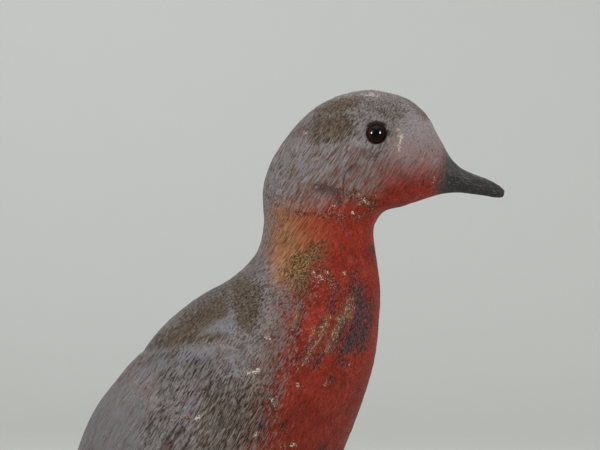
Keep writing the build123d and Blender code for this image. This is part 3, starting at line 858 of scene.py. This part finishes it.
# Painted highlight: the raised edges between the pits are lightened.
rasp_edge_highlight = s.math("MULTIPLY", s.math("MULTIPLY_ADD", seam, -0.9, worn), s.ramp(dashes, 0.42, 0.35))
colour = over(s, colour, s.math("MAXIMUM", rasp_edge_highlight, 0.0), 0.50, srgb(148, 142, 142))
flecks = s.cells(s.turned(60, (0.45, 0.8, 0.8)), 0.8)
colour = over(s, colour, s.math("MULTIPLY", worn, s.ramp(flecks, 0.16, 0.10)), 0.4, srgb(150, 122, 96))
colour = over(s, colour, edge(s, "dark", 3.0, 0.5, stipple), 0.65, srgb(54, 42, 38))
# Painted shade: the carved grooves and the feather edges are darkened along their hollows.
colour = over(s, colour, s.ramp(s.field("groove"), -0.3, 0.1), 0.7, srgb(46, 38, 35))
colour = over(s, colour, s.ramp(s.field("crack"), -0.35, 0.05), 0.75, srgb(52, 38, 34))
crumbs = edge(s, "crumb", 3.0, 0.4, patch)
dusty_red = s.mix(s.ramp(dashes, 0.44, 0.54), srgb(128, 68, 52), srgb(64, 36, 30))
colour = over(s, colour, crumbs, 0.45, dusty_red)
# Painted shade in the crumbs' dark pits, and painted highlights on their tiny light specks.
colour = over(s, colour, s.math("MULTIPLY", crumbs, s.ramp(stipple, 0.54, 0.58)), 0.85, srgb(38, 24, 20))
colour = over(s, colour, s.math("MULTIPLY", crumbs, s.ramp(stipple, 0.41, 0.36)), 0.55, srgb(186, 146, 120))
# Painted shadow: near-black over the top of the eye.
colour = over(s, colour, s.ramp(s.field("socket"), -0.5, 0.1), 0.9, srgb(20, 13, 11))
# Light chips down to the chalk ground, some of them painted glints; the near-white chalk also paints the
# crown's highlight.
chalk_and_glint = s.mix(s.ramp(patch, 0.48, 0.6), srgb(214, 206, 190), srgb(176, 144, 112))
colour = over(s, colour, edge(s, "chip_and_glint", 1.7, 0.12, stipple), 0.9, chalk_and_glint)

# Dark bill, with painted shade making it darker below the mouth.
horn = s.mix(s.ramp(patch, 0.35, 0.65), srgb(78, 76, 75), srgb(60, 57, 56))
# Painted shade: the bill darkens below the mouth line, under its lit top.
horn = over(s, horn, s.ramp(s.field("mouth"), 1.6, -1.0), 0.70, srgb(46, 42, 41))
scuffs = s.noise(s.turned(-22, (0.4, 2.6, 2.6)), 1.0, 2)
horn = over(s, horn, s.ramp(scuffs, 0.60, 0.64), 0.4, srgb(126, 121, 118))
horn = over(s, horn, s.ramp(stipple, 0.58, 0.64), 0.4, srgb(38, 35, 35))
horn = over(s, horn, s.ramp(s.math("ABSOLUTE", s.field("mouth")), 0.3, 0.1), 0.25, srgb(24, 21, 21))
colour = s.mix(s.field("bill"), colour, horn)

# Brush and rasp marks too fine for the mesh.
hollow = s.math("MULTIPLY_ADD", hatch, 0.5, s.math("MULTIPLY", stipple, 0.5))
hollow = s.math("MULTIPLY_ADD", s.math("MULTIPLY", worn, 0.9), s.math("SUBTRACT", dashes, 0.5), hollow)
rough = s.ramp(stipple, 0.35, 0.65, 0.42, 0.66)
relief = s.math("MULTIPLY", s.ramp(hollow, 0.35, 0.65), -1.0)
plumage_paint = s.finish(colour, rough, s.bump(relief, 0.34, 1.0), Specular_IOR_Level=0.13)
for piece in painted:
    dress(piece, plumage_paint)


# ---- eyes ---------------------------------------------------------------------------------------
def eye_dome(side):
    """A glass eye: a domed front on a flat back, turned about the axis across the bird."""
    low, high = (Vector(corner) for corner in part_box(f"glass_eye_{side}"))
    way = 1 if side == "left" else -1
    radius, rise = (high.x - low.x) / 2, high.y - low.y
    back = low.y if side == "left" else high.y
    rings, turns = 14, 48
    verts, faces = [], []
    for ring in range(rings):
        a = math.radians(90) * ring / rings
        r, y = radius * math.cos(a), back + way * rise * math.sin(a)
        for turn in range(turns):
            b = 2 * math.pi * turn / turns
            verts.append((EYE.x + r * math.cos(b), y, EYE.z + r * math.sin(b)))
    top, bottom = len(verts), len(verts) + 1
    verts += [(EYE.x, back + way * rise, EYE.z), (EYE.x, back, EYE.z)]
    for turn in range(turns):
        n = (turn + 1) % turns
        for ring in range(rings - 1):
            low_ring, high_ring = ring * turns, (ring + 1) * turns
            faces.append((low_ring + turn, low_ring + n, high_ring + n, high_ring + turn))
        last = (rings - 1) * turns
        faces += [(last + turn, last + n, top), (n, turn, bottom)]
    if side == "left":
        faces = [face[::-1] for face in faces]
    dome = mesh_object(f"eye_dome_{side}", verts, faces)
    dome.data.shade_smooth()
    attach(dome, "bird")
    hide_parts(f"glass_eye_{side}")
    return dome


s = Shader("dark_eye_glass")  # nearly black, with an amber ring brightened low and to the rear as painted light
away = s.vector("SUBTRACT", s.mm, tuple(c / MM for c in (EYE.x, 0, EYE.z)))
radius = s.vector("LENGTH", s.vector("MULTIPLY", away, (1, 0, 1)), (0, 0, 0))
# Painted light: the amber ring is brighter low and to the rear, as if lit through the glass.
painted_light_low_rear = s.vector("DOT_PRODUCT", away, (-0.8, 0, -0.6))
amber = s.mix(s.ramp(painted_light_low_rear, -0.6, 2.6), srgb(16, 7, 6), srgb(108, 56, 22))
amber = s.mix(s.ramp(s.noise(s.mm, 3.0, 2), 0.40, 0.62), amber, srgb(52, 22, 12))
ring = s.math("MULTIPLY", s.ramp(radius, 2.0, 2.45), s.ramp(radius, 2.98, 2.75))
haze = s.ramp(s.noise(s.mm, 1.2, 3, 0.6), 0.35, 0.75, 0.015, 0.05)
glassy = s.mix(ring, srgb(3, 2, 2), amber)
scratches = s.bump(s.noise(s.turned(30, (0.5, 3.0, 3.0)), 1.0, 2), 0.006, 0.5)
eye_glass = s.finish(glassy, haze, scratches, Specular_IOR_Level=0.10)

s = Shader("eye_putty")
crumb = s.noise(s.mm, 2.2, 3, 0.6)
# The putty's near-black colour is partly its own and partly painted shade of the recess round the eye.
putty_and_shade_colour = s.mix(s.ramp(crumb, 0.38, 0.62), srgb(18, 13, 12), srgb(38, 29, 26))
putty_rough = s.ramp(crumb, 0.3, 0.7, 0.6, 0.85)
eye_putty = s.finish(putty_and_shade_colour, putty_rough, s.bump(crumb, 0.25), Specular_IOR_Level=0.2)

CATCH_LIGHTS = (("catch_left", -62, (0.36, 0.5), 75), ("catch_right", 44, (0.4, 0.55), 90))
CATCH_HEIGHT = 0.56
CATCH_DISTANCE = 1.5
eyes_only = bpy.data.collections.new("eyes")
for side in ("left", "right"):
    dome = eye_dome(side)
    dress(dome, eye_glass)
    eyes_only.objects.link(dome)
    dress(nodes[f"iris_{side}"], eye_glass)
    dress(nodes[f"eye_putty_{side}"], eye_putty)
for name, azimuth, sides, power in CATCH_LIGHTS:
    catch_light = softbox(name, azimuth, CATCH_HEIGHT, CATCH_DISTANCE, sides, power, (0.86, 0.88, 1.0))
    catch_light.light_linking.receiver_collection = eyes_only
    catch_light.visible_diffuse = False


# ---- stand and fittings -------------------------------------------------------------------------
def wood_material(name, light, dark, deep, stretch, gloss):
    """Wood with grain that runs the way the stretch is smallest, open pores, and a rubbed finish."""
    s = Shader(name)
    figure = s.noise(s.vector("MULTIPLY", s.mm, stretch), 0.22, 3, 0.55, 0.6)
    fibre = s.noise(s.vector("MULTIPLY", s.mm, stretch), 1.5, 3, 0.6)
    pores = s.noise(s.vector("MULTIPLY", s.mm, stretch), 3.6, 2, 0.6)
    rubbed = s.noise(s.mm, 0.09, 3, 0.6)
    colour = s.mix(s.ramp(figure, 0.40, 0.60), light, dark)
    colour = over(s, colour, s.ramp(fibre, 0.48, 0.64), 0.5, dark)
    colour = over(s, colour, s.ramp(pores, 0.60, 0.66), 0.8, deep)
    colour = over(s, colour, s.ramp(rubbed, 0.54, 0.66), 0.35, light)
    dents = s.ramp(s.noise(s.mm, 0.45, 2, 0.5), 0.62, 0.72)
    height = s.math("MULTIPLY_ADD", pores, -0.8, s.math("MULTIPLY_ADD", dents, -1.2, fibre))
    rough = s.ramp(s.math("ADD", fibre, rubbed), 0.7, 1.3, gloss, gloss + 0.28)
    return s.finish(colour, rough, s.bump(height, 0.12, 0.9), Specular_IOR_Level=0.32)


def metal_material(name, bright, tarnish, brushed, rough_low, rough_high, metallic=1.0):
    """Metal with fine tool marks, blotchy tarnish and small pits."""
    s = Shader(name)
    marks = s.noise(s.vector("MULTIPLY", s.mm, brushed), 1.0, 3, 0.6)
    blotch = s.noise(s.mm, 0.30, 4, 0.65)
    pits = s.noise(s.mm, 2.2, 2, 0.6)
    colour = over(s, bright, s.ramp(blotch, 0.42, 0.72), 0.65, tarnish)
    colour = over(s, colour, s.ramp(marks, 0.45, 0.62), 0.25, tarnish)
    colour = over(s, colour, s.ramp(pits, 0.66, 0.72), 0.7, tuple(c * 0.3 for c in tarnish))
    dulled = s.math("MULTIPLY_ADD", marks, 0.5, s.math("MULTIPLY", blotch, 0.5))
    rough = s.ramp(dulled, 0.38, 0.62, rough_low, rough_high)
    height = s.math("MULTIPLY_ADD", pits, -0.5, marks)
    return s.finish(colour, rough, s.bump(height, 0.03, 0.8), Metallic=metallic)


def soft_material(name, light, dark, scale, depth_mm, rough, sheen):
    """Felt or leather: a pebbled or matted surface with worn, shiny places."""
    s = Shader(name)
    matted = s.noise(s.mm, scale, 4, 0.7)
    cells = s.cells(s.mm, scale)
    rubbed = s.noise(s.mm, 0.12, 3, 0.6)
    colour = s.mix(s.ramp(matted, 0.35, 0.65), dark, light)
    colour = over(s, colour, s.ramp(cells, 0.35, 0.10), 0.4, dark)
    colour = over(s, colour, s.ramp(rubbed, 0.52, 0.66), 0.35, light)
    height = s.math("MULTIPLY_ADD", matted, 0.7, cells)
    worn_rough = s.ramp(rubbed, 0.4, 0.65, rough, rough - 0.15)
    pebbles = s.bump(height, depth_mm, 0.9)
    return s.finish(colour, worn_rough, pebbles, Sheen_Weight=sheen, Specular_IOR_Level=0.25)


WALNUT = (srgb(120, 82, 54), srgb(78, 50, 34), srgb(38, 24, 17))
BIRCH = (srgb(206, 176, 132), srgb(178, 144, 100), srgb(128, 98, 64))
stained = wood_material("stained_base_wood", *WALNUT, (0.22, 1.0, 1.0), 0.36)
stake_wood = wood_material("stained_stake_wood", *WALNUT, (1.0, 1.0, 0.16), 0.42)
raw_wood = wood_material("raw_dowel_wood", *BIRCH, (1.0, 0.25, 0.4), 0.55)
brass = metal_material("aged_brass", srgb(172, 144, 96), srgb(104, 84, 56), (0.3, 0.3, 4.0), 0.26, 0.50)
steel = metal_material("worn_steel", srgb(168, 168, 170), srgb(104, 100, 96), (0.4, 4.0, 0.4), 0.24, 0.46)
iron = metal_material("cast_iron", srgb(92, 88, 84), srgb(64, 50, 42), (1.2, 1.2, 1.2), 0.5, 0.8, 0.7)
felt = soft_material("green_felt", srgb(70, 96, 74), srgb(38, 58, 44), 2.6, 0.35, 0.97, 0.4)
leather = soft_material("brown_leather", srgb(128, 86, 58), srgb(74, 46, 30), 1.6, 0.25, 0.72, 0.05)

FITTINGS = (
    (stained, ["base_block"]),
    (stake_wood, ["stake"]),
    (raw_wood, ["neck_dowel", "body_dowels"]),
    (brass, ["socket_bush", "ferrule", "hub_bush", "pin_sleeve_left", "pin_sleeve_right"]),
    (brass, ["flange_screws", "blade_rivets"]),
    (steel, ["pivot_blade", "pivot_pin"]),
    (iron, ["ballast_slug"]),
    (felt, ["felt_pad"]),
    (leather, ["rear_stop_pad", "front_stop_pad"]),
)
for material, names in FITTINGS:
    for name in names:
        dress(nodes[name], material)
